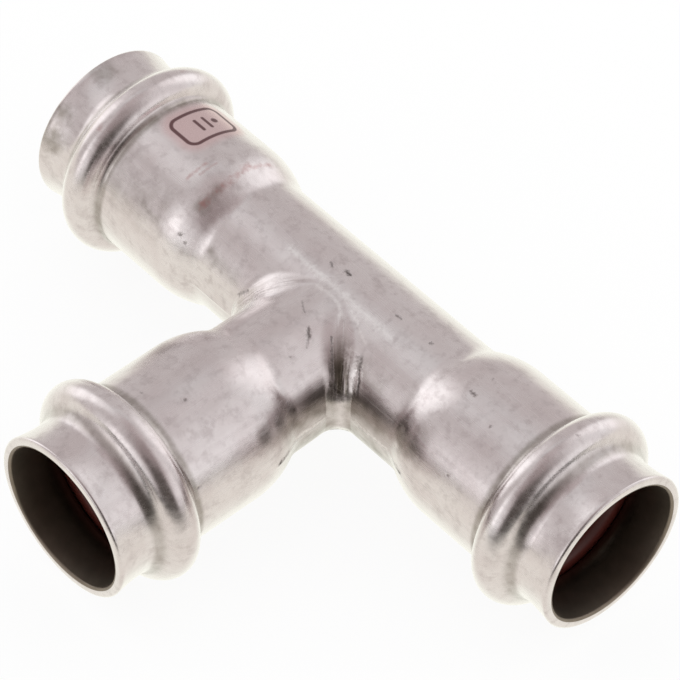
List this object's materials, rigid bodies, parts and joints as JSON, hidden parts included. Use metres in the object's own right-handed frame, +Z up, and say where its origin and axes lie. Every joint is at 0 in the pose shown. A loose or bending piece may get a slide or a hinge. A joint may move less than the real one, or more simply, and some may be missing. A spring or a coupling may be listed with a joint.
{
  "type": "press fit tee",
  "caption": "Hollow steel tee for pressed tube joints: a straight run with a side branch, and a bulged bead with a seal ring inside each open end.",
  "frame": {"origin": "on the surface that the tee lies on, below the middle of its bounding box", "axes": "+X along the run towards its right mouth, the branch points to -Y, +Z up and square to the plane of the three tubes"},
  "size_m": [0.0904, 0.0568, 0.0262],
  "materials": {
    "steel": "pickled stainless steel, satin, with fine lengthwise streaks",
    "seal": "smooth dark red rubber"
  },
  "bodies": {
    "root": {"tee_body": "steel", "seal_ring_left": "seal", "seal_ring_right": "seal", "seal_ring_branch": "seal"}
  },
  "joints": []
}
